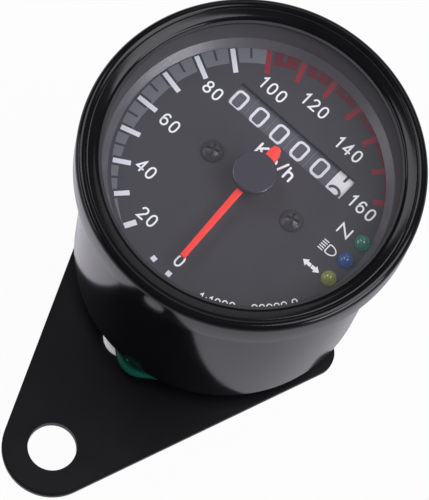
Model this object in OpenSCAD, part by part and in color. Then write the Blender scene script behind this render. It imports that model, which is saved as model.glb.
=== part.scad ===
// Motorcycle speedometer with a six-drum odometer, on its mounting plate, with its wire harness.
// Millimetres. The origin is the centre of the plate's bolt hole, on the plate's underside.
// Z points out of the dial, Y to the dial's 12 o'clock, X to its 3 o'clock.

/* [Case] */
// outside diameter of the bezel
bezel_d = 60; // [58:0.5:64]
// height of the bezel
bezel_h = 7.2; // [6.6:0.1:8.4]
// sheet thickness of the bezel
bezel_t = 0.9; // [0.6:0.1:1.2]
// width of the bezel's face
bezel_face = 3.9; // [3.5:0.1:4.3]
// overhang of the bezel over the can
bezel_over = 2.3; // [2.2:0.05:2.4]
// height of the can below its flange
can_h = 43.4; // [41:0.2:50]
// how much the can's radius narrows down to its floor
can_taper = 0.6; // [0.2:0.1:1.2]
// sheet thickness of the can
can_t = 0.8; // [0.5:0.1:1]
// sideways offset of the movement from the can's axis
case_x = -1.6; // [-2:0.1:0]
// offset of the can's axis above the movement's axis
case_y = 0.7; // [0:0.1:1]

/* [Window] */
// thickness of the lens
lens_t = 1.4; // [1:0.1:2]
// height of the dark rubber ring between lens and spacer
gasket_h = 4.1; // [3.7:0.1:5]
// height of the chamfered spacer on the dial
spacer_h = 1.6; // [1:0.1:2]
// thickness of the dial plate
dial_t = 0.8; // [0.5:0.1:1.2]
// width of the spacer on the dial
spacer_w = 2.7; // [2.5:0.1:3]

/* [Pointer] */
// reach of the pointer's tip from its axis
pointer_r = 19.3; // [16:0.1:20]
// reach of the pointer's tail
tail_r = 7; // [5.5:0.1:7.4]
// radius of the hub cap
cap_r = 3.75; // [3.2:0.05:4.4]
// gap between the hub cap and the lens
cap_gap = 0.5; // [0.3:0.1:0.9]
// direction of the resting pointer, clockwise from 12 o'clock
rest_deg = 178; // [174:1:182]
// radius of the pointer spindle
spindle_r = 0.75; // [0.6:0.05:0.9]

/* [Odometer] */
// radius of a number drum
drum_r = 7; // [6.4:0.1:7.2]
// spacing of the drums
drum_pitch = 4.55; // [4.3:0.05:4.6]
// gap between two drums
drum_gap = 0.2; // [0.15:0.05:0.4]
// sideways position of the row of drums
odo_x = -0.7; // [-1:0.1:0]
// distance of the drum axis above the pointer's axis
odo_y = 11; // [10.6:0.1:11.4]
// height of the dial's window
window_h = 4.5; // [4:0.1:5]
// width of the dial's window
window_w = 26.2; // [25:0.1:26.6]
// teeth on the ring inside a drum
drum_teeth = 20; // [16:2:24]
// teeth on a carry pinion
pinion_teeth = 6; // [5:1:8]

/* [Lamps] */
// radius of an indicator lamp
lamp_r = 1.4; // [1.2:0.05:1.5]
// spacing of the indicator lamps
lamp_pitch = 4.4; // [4.1:0.1:4.8]
// distance of the lamps from the spacer
lamp_in = 1.9; // [1.8:0.1:2.3]

/* [Mounting] */
// thickness of the mounting plate
plate_t = 1.8; // [1.5:0.1:2.5]
// distance from the bolt hole to the pointer's axis
arm = 46.3; // [44:0.1:50]
// radius of the bolt hole
hole_r = 4.45; // [4.25:0.05:5]
// radius of the plate's end around the bolt hole
end_r = 9.1; // [8:0.1:11]
// reach of the plate's right corner from the bolt hole's line
corner_right = 22.3; // [21:0.1:24]
// reach of the plate's left corner from the bolt hole's line
corner_left = 24.7; // [23:0.1:26]
// gap between plate and can, filled by the rubber buffers
plate_gap = 4; // [3.9:0.1:4.6]
// half distance of the two studs
stud_x = 16; // [15.4:0.1:17]
// radius of a stud
stud_r = 2.5; // [2:0.1:2.6]
// outside radius of the cable nipple's thread
nipple_r = 6; // [5.5:0.1:6.1]
// reach of the cable nipple below the plate
nipple_reach = 16; // [14:0.5:18]

/* [Wires] */
// radius of a lamp wire
wire_r = 0.8; // [0.7:0.05:0.85]
// radius of the harness sleeve
sleeve_r = 1.9; // [1.6:0.1:2]

/* [Hidden] */
$fn = 96;
e = 0.01;
slip = 0.05;                               // running fit of the shafts
seat = 0.02;                               // clearance of pieces that are fixed in one another
hole_clear = 0.3;                          // clearance around pieces that pass through sheet
px = 0;                                    // the movement's axis
py = arm;
cx = px + case_x;                          // the can's axis
cy = py + case_y;
can_top_r = bezel_d / 2 - bezel_over;      // outside of the can at its flange
can_floor_r = can_top_r - can_taper;       // outside of the can at its floor
bezel_open_r = bezel_d / 2 - bezel_face;
can_z = plate_t + plate_gap + 0.04;        // outside of the can's floor
can_floor = can_z + can_t;                 // inside of the can's floor
flange_z = can_z + can_h;                  // underside of the can's flange
flange_top = flange_z + can_t;
flange_r = bezel_d / 2 - bezel_t - 0.2;
skirt_z = flange_z - bezel_t - 0.05;       // lower edge of the bezel
bezel_top = skirt_z + bezel_h;
lip_t = 0.55;
lip_z = bezel_top - 1.1;                   // underside of the bezel's lip, on the lens
lens_z = lip_z - lens_t;
gasket_z = lens_z - gasket_h;
dial_top = gasket_z - spacer_h;
dial_z = dial_top - dial_t;
liner_r = can_top_r - can_t - 0.2;         // what seats inside the can
dial_r = liner_r - spacer_w;               // the dial that shows inside the spacer
lamp_x = dial_r - lamp_in;
cap_top = lens_z - cap_gap;
cap_h = 2.1;
needle_z = cap_top - cap_h - 0.2;
needle_t = 0.7;
tail_t = 1.5;
swing_z = needle_z;
cup_r = 10;
cup_t = 0.4;
magnet_h = 5;
magnet_r = 9;
bridge_t = 1.5;
odo_z = dial_z - 0.5 - drum_r;             // the drum axis
bridge_z = odo_z - drum_r - 2.5;
cup_top = bridge_z - 4.3;
magnet_z = cup_top - magnet_h - 2.7;
cup_z = magnet_z;
drive_r = 1.5;
base_t = 3.3;
base_z = can_floor + 0.06;
base_top = base_z + base_t;
post_r = 2.5;
post_x = 9.1;                              // dial screws, each side of the pointer's axis
screw_r = 1;
screw_head_r = 2;
oy = py + odo_y;
odo_shaft_r = 1;
drum_w = drum_pitch - drum_gap;
row_w = 6 * drum_pitch;
cheek_t = 1;
cheek_gap = 0.3;
recess = 1.25;                             // depth of a drum's hollow sides
ring_r = drum_r - 1.5;                     // root of the teeth inside a drum
ring_h = 0.5;                              // height of these teeth
hub_r = odo_shaft_r + 0.5;
pinion_r = (ring_r - ring_h - hub_r - 0.2) / 2;
pinion_at = hub_r + 0.15 + pinion_r;       // a pinion's distance below the drum axis
pin_r = 0.5;
plate_r = ring_r - ring_h - 0.3;           // carrier plate of a pinion
carrier_t = 0.35;
cheek_w = 10;
lamp_y = 0.36;                             // middle lamp, above the can's axis
carrier_h = 3;
stud_hole_r = stud_r + hole_clear;
boot_r = 4.2;
boot_low = 2.2;
can_boot = [cx + 12, cy - 15];             // where the wires leave the can
plate_boot = [-8.5, arm - 10.9];           // where the sleeve leaves the plate
plug_r = 2.6;
wire_lo = plate_t + 1.15;                  // two layers of wires in the gap
wire_hi = plate_t + 3.0;
floor_z = -nipple_reach;
sleeve_z = floor_z + sleeve_r;
coil_c = [-2.8, arm + 4.7];                // middle of the coil
coil_r0 = 16.6;
coil_step = 4.3;
coil_a0 = 279.3;
coil_a1 = 955;
thread_end = -2.2;                         // upper end of the nipple's thread

// ring about the Z axis
module ring(ro, ri, h) {
  difference() {
    cylinder(r = ro, h = h);
    translate([0, 0, -e]) cylinder(r = ri, h = h + 2 * e);
  }
}

// the bezel: rolled skirt, round bead, fine groove and a face that slopes in to the lens
module bezel_ring() color([0.03, 0.03, 0.035]) translate([cx, cy, 0]) rotate_extrude() bezel_section();

module bezel_section() {
  ro = bezel_d / 2;
  ri = ro - bezel_t;
  bead = 1.1;
  difference() {
    union() {
      polygon([[can_top_r + 0.3, skirt_z], [ro - 0.35, skirt_z], [ro, skirt_z + 0.35],
        [ro, bezel_top - bead], [ro - bead, bezel_top - 0.1], [ro - 1.9, bezel_top - 0.2],
        [bezel_open_r + 0.2, lip_z + lip_t], [bezel_open_r, lip_z + lip_t - 0.2],
        [bezel_open_r, lip_z], [can_top_r + 0.3, lip_z]]);
      translate([ro - bead, bezel_top - bead]) circle(r = bead);
    }
    polygon([[can_top_r, skirt_z + bezel_t], [ri, skirt_z + bezel_t], [ri, lip_z],
      [can_top_r, lip_z]]);
    translate([ro - 1.85, bezel_top - 0.08]) circle(r = 0.2);
  }
}

// flat glass, held between gasket and lip
module lens() color([0.85, 0.9, 0.92, 0.3])
  translate([cx, cy, lens_z]) cylinder(r = bezel_d / 2 - bezel_t - 0.15, h = lens_t);

// dark rubber ring: its cone shows above the spacer, its flange seals can and lens
module lens_gasket() color([0.12, 0.12, 0.13]) translate([cx, cy, 0]) rotate_extrude()
  polygon([[dial_r + 1.25, gasket_z], [liner_r, gasket_z], [liner_r, flange_top],
    [bezel_d / 2 - bezel_t - 0.25, flange_top], [bezel_d / 2 - bezel_t - 0.25, lens_z],
    [bezel_open_r - 0.1, lens_z]]);

// grey spacer with its chamfer towards the dial
module spacer_ring() color([0.5, 0.5, 0.53]) translate([cx, cy, 0]) rotate_extrude()
  polygon([[dial_r, dial_top], [liner_r, dial_top], [liner_r, gasket_z],
    [dial_r + 1.2, gasket_z], [dial_r, dial_top + 0.15]]);

module dial_plate() color([0.16, 0.16, 0.17]) difference() {
  translate([cx, cy, dial_z]) cylinder(r = liner_r, h = dial_t);
  translate([px, py, dial_z - 1]) cylinder(r = spindle_r + 0.9, h = dial_t + 2);
  translate([px + odo_x - window_w / 2, oy - window_h / 2, dial_z - 1])
    cube([window_w, window_h, dial_t + 2]);
  for (s = [-1, 1]) translate([px + s * post_x, py, dial_z - 1])
    cylinder(r = screw_r + 0.1, h = dial_t + 2);
  for (i = [-1, 0, 1]) translate([cx + lamp_x, cy + lamp_y + i * lamp_pitch, dial_z - 1])
    cylinder(r = lamp_r + slip, h = dial_t + 2);
}

// two round-head screws with a cross recess
module dial_screws() color([0.05, 0.05, 0.05]) for (s = [-1, 1])
  translate([px + s * post_x, py, dial_top]) difference() {
    union() {
      intersection() {
        translate([0, 0, 1.25 - 2.6]) sphere(r = 2.6);
        cylinder(r = screw_head_r, h = 2);
      }
      translate([0, 0, -4]) cylinder(r = screw_r, h = 4.2);
    }
    for (a = [0, 90]) rotate(a + 20) translate([-1.15, -0.25, 0.55]) cube([2.3, 0.5, 2]);
  }

// drawn can: tapered wall, rounded floor edge, turned-out flange
module can() color([0.03, 0.03, 0.035]) difference() {
  translate([cx, cy, 0]) rotate_extrude() can_section();
  translate([px, py, can_z - 1]) cylinder(r = nipple_r + hole_clear, h = 4);
  for (s = [-1, 1]) translate([px + s * stud_x, py, can_z - 1])
    cylinder(r = stud_hole_r, h = 4);
  translate([can_boot[0], can_boot[1], can_z - 1]) cylinder(r = plug_r + slip, h = 4);
}

module can_section() {
  q = 1.6;
  w = can_t;
  out = [for (a = [-90 : 10 : 0]) [can_floor_r - q + q * cos(a), can_z + q + q * sin(a)]];
  inn = [for (a = [0 : -10 : -90]) [can_floor_r - q + (q - w) * cos(a),
    can_z + q + (q - w) * sin(a)]];
  polygon(concat([[0, can_z]], out, [[can_top_r, flange_z], [flange_r, flange_z],
    [flange_r, flange_top], [can_top_r - w, flange_top]], inn, [[0, can_z + w]]));
}

// flat pointer with a broader folded tail
module pointer() color([0.9, 0.08, 0.05]) difference() {
  translate([px, py, 0]) rotate(-rest_deg) union() {
    translate([0, 0, needle_z]) linear_extrude(needle_t)
      polygon([[-0.9, 0], [0.9, 0], [0.55, pointer_r], [-0.55, pointer_r]]);
    translate([0, 0, needle_z - tail_t + needle_t]) linear_extrude(tail_t)
      polygon([[-1.05, 0], [-1.05, -tail_r], [1.05, -tail_r], [1.05, 0]]);
    translate([0, 0, needle_z - tail_t + needle_t]) cylinder(r = cap_r - 1, h = tail_t);
  }
  translate([px, py, needle_z - 2]) cylinder(r = spindle_r + seat, h = 4);
}

// flat-topped hub cap with a small edge radius
module pointer_cap() color([0.1, 0.1, 0.11]) translate([px, py, needle_z + needle_t])
  rotate_extrude() cap_section(cap_top - needle_z - needle_t);

module cap_section(h) {
  q = 0.3;
  polygon(concat([[0, 0], [cap_r - 0.1, 0]],
    [for (a = [0 : 15 : 90]) [cap_r - q + q * cos(a), h - q + q * sin(a)]], [[0, h]]));
}

module pointer_spindle() color([0.75, 0.75, 0.77]) translate([px, py, 0]) {
  translate([0, 0, cup_top - 2.2]) cylinder(r = spindle_r, h = needle_z + needle_t - cup_top + 2.2);
  translate([0, 0, cup_top]) cylinder(r = spindle_r + 0.9, h = 1.8);
}

// drag cup over the magnet
module speed_cup() color([0.8, 0.8, 0.82]) translate([px, py, 0]) difference() {
  translate([0, 0, cup_z]) cylinder(r = cup_r, h = cup_top - cup_z);
  translate([0, 0, cup_z - 1]) cylinder(r = cup_r - cup_t, h = cup_top - cup_z + 1 - 0.8);
  translate([0, 0, cup_z]) cylinder(r = spindle_r + seat, h = 20);
}

// flat spiral spring above the bridge, pinned to it at its outer end
spring_n = 90;
spring_r0 = spindle_r + 0.35;
spring_r1 = 5.5;
spring_w = 0.12;
function coil_pt(i, o) = let(a = 1260 * i / spring_n,
  r = spring_r0 + (spring_r1 - spring_r0) * i / spring_n + o) [px + r * cos(a), py + r * sin(a)];
module hairspring() color([0.7, 0.55, 0.3]) {
  translate([0, 0, bridge_z + bridge_t + 0.9]) linear_extrude(0.7)
    polygon(concat([for (i = [0 : spring_n]) coil_pt(i, spring_w)],
      [for (i = [spring_n : -1 : 0]) coil_pt(i, -spring_w)]));
  translate([px - spring_r1, py, bridge_z + bridge_t]) cylinder(r = 0.6, h = 1.8);
}

// spindle in the nipple, square socket at its lower end
module drive_spindle() color([0.75, 0.75, 0.77]) translate([px, py, 0]) difference() {
  union() {
    translate([0, 0, -10]) cylinder(r = 2.6, h = 8);
    translate([0, 0, -3]) cylinder(r = drive_r, h = magnet_z + magnet_h + 3);
    translate([0, 0, magnet_z - 1.2]) cylinder(r = 3, h = 1.2);
  }
  translate([-1.35, -1.35, -11]) cube([2.7, 2.7, 8]);
}

// magnet with two poles cut by a slot
module drive_magnet() color([0.35, 0.35, 0.38]) translate([px, py, magnet_z]) difference() {
  cylinder(r = magnet_r, h = magnet_h);
  translate([0, 0, -1]) cylinder(r = drive_r + seat, h = magnet_h + 2);
  for (s = [-1, 1]) translate([s * magnet_r, 0, -1]) cylinder(r = 2.2, h = magnet_h + 2);
}

// die-cast base on the can's floor, with the bosses for nipple and studs
module movement_base() color([0.62, 0.63, 0.65]) difference() {
  union() {
    translate([px, py, base_z]) cylinder(r = 12.5, h = base_t);
    translate([px - stud_x, py - 4, base_z]) cube([2 * stud_x, 8, base_t]);
    for (s = [-1, 1]) translate([px + s * stud_x, py, base_z]) cylinder(r = 4.5, h = base_t + 3);
    translate([px + odo_x - row_w / 2 - 1, py + 4, base_z]) cube([row_w + 2, odo_y + 1, base_t]);
  }
  translate([px, py, base_z - 1]) cylinder(r = nipple_r + seat, h = base_t + 2);
  for (s = [-1, 1]) translate([px + s * stud_x, py, base_z - 1])
    cylinder(r = stud_r + seat, h = base_t + 2.5);
}

// stamped bridge: two uprights, the upper bearing and the dial posts
module movement_bridge() color([0.72, 0.7, 0.62]) difference() {
  union() {
    translate([px - stud_x, py - 4, bridge_z]) cube([2 * stud_x, 8, bridge_t]);
    for (s = [-1, 1]) translate([px + s * (stud_x - 1) - 1, py - 4, base_top + 3])
      cube([2, 8, bridge_z - base_top - 3 + e]);
    for (s = [-1, 1]) translate([px + s * post_x, py, bridge_z])
      cylinder(r = post_r, h = dial_z - bridge_z);
  }
  translate([px, py, bridge_z - 1]) cylinder(r = spindle_r + slip, h = bridge_t + 2);
  for (s = [-1, 1]) translate([px + s * post_x, py, dial_z - 5])
    cylinder(r = screw_r + seat, h = 6);
}

// threaded nipple for the speedometer cable
module cable_nipple() color([0.75, 0.74, 0.7]) translate([px, py, 0]) difference() {
  union() {
    translate([0, 0, floor_z + 0.6]) cylinder(r = nipple_r, h = thread_end - floor_z - 0.6);
    translate([0, 0, thread_end - e]) cylinder(r = nipple_r - 0.6, h = 1 + 2 * e);
    translate([0, 0, thread_end + 1]) cylinder(r = nipple_r, h = base_top - thread_end - 1);
    translate([0, 0, floor_z]) cylinder(r1 = nipple_r - 0.6, r2 = nipple_r, h = 0.6);
    translate([0, 0, base_top]) cylinder(r = nipple_r + 1.8, h = 2);
  }
  translate([0, 0, floor_z - 1]) cylinder(r = drive_r + slip, h = 60);
  translate([0, 0, floor_z - 1]) cylinder(r = 3.1, h = -floor_z - 1);
}

// side walls that carry the drums' shaft
module odometer_cheeks() color([0.72, 0.7, 0.62]) for (s = [-1, 1]) difference() {
  translate([px + odo_x + s * (row_w / 2 + cheek_gap) + (s < 0 ? -cheek_t : 0), oy - cheek_w / 2,
    base_top]) cube([cheek_t, cheek_w, odo_z + 3.5 - base_top]);
  at_row(-30) flatted(seat, 60);
}

// puts a piece on the drum axis, x along the row from its middle, pointing right
module at_row(x) translate([px + odo_x + x, oy, odo_z]) rotate([0, 90, 0]) children();

// the shaft doesn't turn: a flat keys it in the cheeks and keys the carrier plates on it
module flatted(grow, h) difference() {
  cylinder(r = odo_shaft_r + grow, h = h);
  translate([-odo_shaft_r - 1 - 0.7 - grow, -2, -1]) cube([2, 4, h + 2]);
}
module odometer_shaft() color([0.75, 0.75, 0.77])
  at_row(-row_w / 2 - cheek_gap - cheek_t - 0.5) flatted(0, row_w + 2 * (cheek_gap + cheek_t + 0.5));

// one number drum, hollow on both sides: a toothed ring inside its right, on its left a smooth
// ring with two carry teeth that push the next drum's pinion on once a turn
module drum(i) at_row((i - 2.5) * drum_pitch - drum_w / 2) difference() {
  cylinder(r = drum_r, h = drum_w);
  translate([0, 0, drum_w - recess]) linear_extrude(recess + 1) difference() {
    union() {
      circle(r = ring_r - ring_h);
      for (k = [0 : drum_teeth - 1]) rotate(360 / drum_teeth * k) translate([0, -0.42])
        square([ring_r, 0.84]);
    }
    circle(r = hub_r);
  }
  translate([0, 0, -1]) linear_extrude(recess + 1) difference() {
    circle(r = ring_r);
    for (k = [-0.5, 0.5]) rotate(180 + 360 / drum_teeth * k) translate([ring_r - ring_h, -0.4])
      square([2, 0.8]);
  }
  translate([0, 0, -1]) cylinder(r = odo_shaft_r + slip, h = drum_w + 2);
}

module drum_1() color([0.12, 0.12, 0.13]) drum(0);
module drum_2() color([0.12, 0.12, 0.13]) drum(1);
module drum_3() color([0.12, 0.12, 0.13]) drum(2);
module drum_4() color([0.12, 0.12, 0.13]) drum(3);
module drum_5() color([0.12, 0.12, 0.13]) drum(4);
module drum_tenths() color([0.85, 0.85, 0.85]) drum(5);

// a pinion reaches from one drum into the next, below their shaft
pinion_lo = -drum_gap / 2 - recess + 0.1;
pinion_hi = drum_gap / 2 + recess - carrier_t - 0.15;
module at_pinions() for (i = [-2 : 2]) at_row(i * drum_pitch) translate([pinion_at, 0, 0]) children();

module carry_pinions() color([0.85, 0.82, 0.7]) at_pinions()
  translate([0, 0, pinion_lo]) linear_extrude(pinion_hi - pinion_lo) difference() {
    circle(r = pinion_r);
    for (k = [0 : pinion_teeth - 1]) rotate(360 / pinion_teeth * (k + 0.5))
      translate([pinion_r - 0.45, -0.3]) square([1, 0.6]);
    circle(r = pin_r + slip);
  }

// carrier plates, keyed on the shaft, each with the pin of its pinion
module carry_plates() color([0.72, 0.7, 0.62]) {
  for (i = [-2 : 2]) at_row(i * drum_pitch) translate([0, 0, pinion_hi + 0.05]) difference() {
    cylinder(r = plate_r, h = carrier_t);
    translate([0, 0, -1]) flatted(seat, 3);
  }
  at_pinions() translate([0, 0, pinion_lo]) cylinder(r = pin_r, h = pinion_hi - pinion_lo + 0.1);
}

// indicator lamps with round domes
module lamp(i) translate([cx + lamp_x, cy + lamp_y + i * lamp_pitch, dial_z - carrier_h]) {
  cylinder(r = lamp_r, h = carrier_h + dial_t);
  translate([0, 0, carrier_h + dial_t]) sphere(r = lamp_r);
}

module lamp_green() color([0.05, 0.45, 0.25]) lamp(1);
module lamp_blue() color([0.1, 0.2, 0.8]) lamp(0);
module lamp_yellow() color([0.8, 0.6, 0.1]) lamp(-1);

module lamp_carrier() color([0.9, 0.9, 0.88]) difference() {
  translate([cx + lamp_x - 2.4, cy + lamp_y - lamp_pitch - 2.2, dial_z - carrier_h])
    cube([4.4, 2 * lamp_pitch + 4.4, carrier_h]);
  for (i = [-1, 0, 1])
    translate([cx + lamp_x, cy + lamp_y + i * lamp_pitch, dial_z - carrier_h - 1])
      cylinder(r = lamp_r + slip, h = carrier_h + 2);
}

// outline of the mounting plate: round ends joined by their outer tangents
plate_ends = [[0, 0, end_r], [corner_right, py - 0.2, 4.4], [px, py, 15],
  [-corner_left, py - 0.2, 4.4]];
function side_dir(a, b) = let(d = [b[0] - a[0], b[1] - a[1]])
  atan2(d[1], d[0]) - 90 + asin((a[2] - b[2]) / norm(d));
function ahead(a, b) = b < a ? ahead(a, b + 360) : b;

module plate_outline(inset) {
  m = len(plate_ends);
  dirs = [for (i = [0 : m - 1]) side_dir(plate_ends[i], plate_ends[(i + 1) % m])];
  polygon([for (i = [0 : m - 1]) let(c = plate_ends[i], a0 = dirs[(i + m - 1) % m],
    a1 = ahead(a0, dirs[i]), n = ceil((a1 - a0) / 5)) for (k = [0 : n])
    let(a = a0 + (a1 - a0) * k / n, r = c[2] - inset) [c[0] + r * cos(a), c[1] + r * sin(a)]]);
}

// pressed mounting plate with broken edges
module bracket_plate() color([0.04, 0.04, 0.045]) difference() {
  union() {
    linear_extrude(plate_t) plate_outline(0.4);
    translate([0, 0, 0.12]) linear_extrude(plate_t - 0.24) plate_outline(0.15);
    translate([0, 0, 0.35]) linear_extrude(plate_t - 0.7) plate_outline(0);
  }
  translate([0, 0, -1]) cylinder(r = hole_r, h = plate_t + 2);
  translate([px, py, -1]) cylinder(r = nipple_r + 2 * hole_clear, h = plate_t + 2);
  for (s = [-1, 1]) translate([px + s * stud_x, py, -1]) cylinder(r = stud_hole_r, h = plate_t + 2);
  translate([plate_boot[0], plate_boot[1], -1]) cylinder(r = plug_r + slip, h = plate_t + 2);
}

module at_studs() for (s = [-1, 1]) translate([px + s * stud_x, py, 0]) children();

module stud_bolts() color([0.75, 0.75, 0.77]) at_studs()
  translate([0, 0, -6.5]) cylinder(r = stud_r, h = base_top + 1.4 + 6.5);

module rubber_buffers() color([0.08, 0.08, 0.08]) at_studs() translate([0, 0, plate_t])
  ring(5, stud_r + seat, plate_gap + 0.04);

module stud_washers() color([0.75, 0.75, 0.77]) at_studs() translate([0, 0, -1])
  ring(stud_r * 2, stud_r + 0.1, 1);

module stud_nuts() color([0.75, 0.75, 0.77]) at_studs() translate([0, 0, -5]) difference() {
  cylinder(r = stud_r * 1.84, h = 4, $fn = 6);
  translate([0, 0, -1]) cylinder(r = stud_r + seat, h = 6);
}

// rubber boot that leads the wires out of the can
module can_boot() color([0.06, 0.06, 0.06]) translate([can_boot[0], can_boot[1], 0]) {
  translate([0, 0, boot_low]) cylinder(r = boot_r, h = can_z - boot_low);
  translate([0, 0, can_z]) cylinder(r = plug_r, h = can_t + 0.6);
  translate([0, 0, can_floor + 0.1]) cylinder(r = plug_r + 0.6, h = 1);
}

// rubber boot in the plate: wires in at its side, sleeve out below
module plate_boot() color([0.06, 0.06, 0.06]) translate([plate_boot[0], plate_boot[1], 0]) {
  translate([0, 0, plate_t]) cylinder(r = boot_r, h = plate_gap - 0.1);
  translate([0, 0, -0.5]) cylinder(r = plug_r, h = plate_t + 0.6);
  translate([0, 0, -1.8]) cylinder(r = plug_r + 0.8, h = 1.8);
}

// smooth line through hand-set points
function spline(p, n) = let(m = len(p)) [for (i = [0 : m - 2]) for (k = [0 : n - (i < m - 2 ? 1 : 0)])
  let(t = k / n, a = p[max(i - 1, 0)], b = p[i], c = p[i + 1], d = p[min(i + 2, m - 1)])
    0.5 * ((2 * b) + (c - a) * t + (2 * a - 5 * b + 4 * c - d) * t * t
      + (3 * b - a - 3 * c + d) * t * t * t)];
function unit(v) = v / norm(v);
function heading(p, i) = unit(p[min(i + 1, len(p) - 1)] - p[max(i - 1, 0)]);
// each ring keeps the side of the one before, so that the tube does not twist
function sides(p, i, s) = i >= len(p) ? [] :
  let(h = heading(p, i), u = unit(s - (s * h) * h)) concat([u], sides(p, i + 1, u));
module tube(p, r, n, s0, ends) {
  m = len(p);
  s = sides(p, 0, s0);
  pts = [for (i = [0 : m - 1]) let(h = i == 0 ? ends[0] : i == m - 1 ? ends[1] : heading(p, i),
    u = unit(s[i] - (s[i] * h) * h), v = cross(h, u))
    for (k = [0 : n - 1]) p[i] + r * (cos(360 * k / n) * u + sin(360 * k / n) * v)];
  wall = [for (i = [0 : m - 2]) for (k = [0 : n - 1]) let(a = i * n + k, b = i * n + (k + 1) % n)
    each [[a, a + n, b], [b, a + n, b + n]]];
  cap0 = [for (k = [1 : n - 2]) [0, k, k + 1]];
  cap1 = [for (k = [1 : n - 2]) [(m - 1) * n, (m - 1) * n + k + 1, (m - 1) * n + k]];
  polyhedron(points = pts, faces = concat(wall, cap0, cap1));
}
function flat(p, z) = [for (q = p) [cx + q[0], cy + q[1], z]];
way_k = can_floor_r / 27.1;                // the lamp wires' routes grow with the can
// an entry into a round boot at angle a: on its wall, then one diameter out
function entry(c, a) = [[c[0] + boot_r * cos(a) - cx, c[1] + boot_r * sin(a) - cy],
  [c[0] + (boot_r + 1.7) * cos(a) - cx, c[1] + (boot_r + 1.7) * sin(a) - cy]];
module lamp_wire(a, mid, b, z) {
  s = entry(can_boot, a);
  t = entry(plate_boot, b);
  p = spline(flat(concat([s[0], s[1]], way_k * mid, [t[1], t[0]]), z), 4);
  tube(p, wire_r, 8, [0, 0, 1], [[cos(a), sin(a), 0], [-cos(b), -sin(b), 0]]);
}

// routes are set by hand, measured from the can's axis
white_way = [[5.5, -23.9], [1.2, -25.9], [-2.4, -26.5], [-5.3, -25.7], [-7.4, -22.6], [-8.6, -19.8]];
green_way = [[9.4, -23.6], [6.6, -25.8], [3, -27.3], [-0.6, -26.4], [-3.8, -23.4], [-5.9, -20.2]];
blue_way = [[2.2, -14.7]];
black_way = [[2.2, -14.7]];
module wire_white() color([0.85, 0.85, 0.88]) lamp_wire(240, white_way, 250, wire_lo);
module wire_green() color([0.02, 0.3, 0.18]) lamp_wire(262, green_way, 272, wire_hi);
module wire_blue() color([0.08, 0.15, 0.5]) lamp_wire(180, blue_way, 335, wire_hi);
module wire_black() color([0.04, 0.04, 0.04]) lamp_wire(180, black_way, 335, wire_lo);

// the sleeve's free stretch: down from the plate's boot, then round to the coil
function on_coil(a, r, z) = [coil_c[0] + r * cos(a), coil_c[1] + r * sin(a), z];
lead_way = [[-8.5, 35.4, -1.8], [-8.5, 35.4, -3.7], [-8.5, 35.4, -5.6],
  [-8.2, 35.3, -7.8], [-7.4, 35.1, -9.9], [-6.1, 34.7, -11.6], [-4.3, 34.5, -13],
  [-2.3, 34.4, -13.8], [coil_c[0] + coil_r0 * cos(coil_a0), coil_c[1] + coil_r0 * sin(coil_a0), sleeve_z]];
coil_start = [-sin(coil_a0), cos(coil_a0), 0];
module harness_lead() color([0.05, 0.05, 0.055])
  tube(lead_way, sleeve_r, 10, [0, -1, 0], [[0, 0, -1], coil_start]);

// the coil: nearly two turns of a flat spiral, then a short straight end into the plug
coil_n = 48;
coil_way = [for (i = [0 : coil_n]) let(a = coil_a0 + (coil_a1 - coil_a0) * i / coil_n)
  on_coil(a, coil_r0 + coil_step * (a - coil_a0) / 360, sleeve_z)];
tail_way = [[-13.5, 28.4, sleeve_z], [-10.6, 26.4, sleeve_z], [-8.4, 24.9, sleeve_z],
  [-6.5, 23.8, sleeve_z], [-4.7, 23.4, sleeve_z], [-2.8, 23.4, sleeve_z], [-0.9, 23.4, sleeve_z]];
harness_way = concat(coil_way, tail_way);
function gap_of(p) = min([for (i = [0 : len(p) - 1]) for (j = [i + 14 : len(p) - 1])
  norm(p[i] - p[j])]) - 2 * sleeve_r;
fine_way = concat([for (i = [0 : 3 * coil_n]) let(a = coil_a0 + (coil_a1 - coil_a0) * i / (3 * coil_n))
  on_coil(a, coil_r0 + coil_step * (a - coil_a0) / 360, sleeve_z)], tail_way);
echo(coil_least_gap = gap_of(fine_way));
module harness_coil() color([0.05, 0.05, 0.055])
  tube(harness_way, sleeve_r, 8, [0, 0, 1], [coil_start, [1, 0, 0]]);

// strap round both turns
tie_in = coil_r0 + coil_step * (450 - coil_a0) / 360 - sleeve_r - 0.2;
tie_out = coil_r0 + coil_step * (810 - coil_a0) / 360 + sleeve_r + 0.2;
module harness_tie() color([0.04, 0.04, 0.04]) translate([coil_c[0] - 1.2, coil_c[1], floor_z])
  difference() {
    translate([0, tie_in - 0.4, -0.4]) cube([2.4, tie_out - tie_in + 0.8, 2 * sleeve_r + 0.9]);
    translate([-1, tie_in, -0.05]) cube([5, tie_out - tie_in, 2 * sleeve_r + 0.15]);
  }

// plug on the end of the harness
plug_w = 8;
plug_h = 5.4;
plug_l = 12;
module harness_plug() color([0.85, 0.85, 0.8]) translate([-0.9, 23.4, floor_z]) difference() {
  union() {
    translate([0, -plug_w / 2, 0]) cube([plug_l, plug_w, plug_h]);
    translate([3, -1.5, plug_h]) cube([6, 3, 0.7]);
  }
  for (i = [-1, 0, 1]) for (k = [0, 1]) translate([plug_l - 5, i * 2.3 - 0.75, 0.8 + k * 2.2])
    cube([6, 1.5, 1.5]);
}

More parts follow.
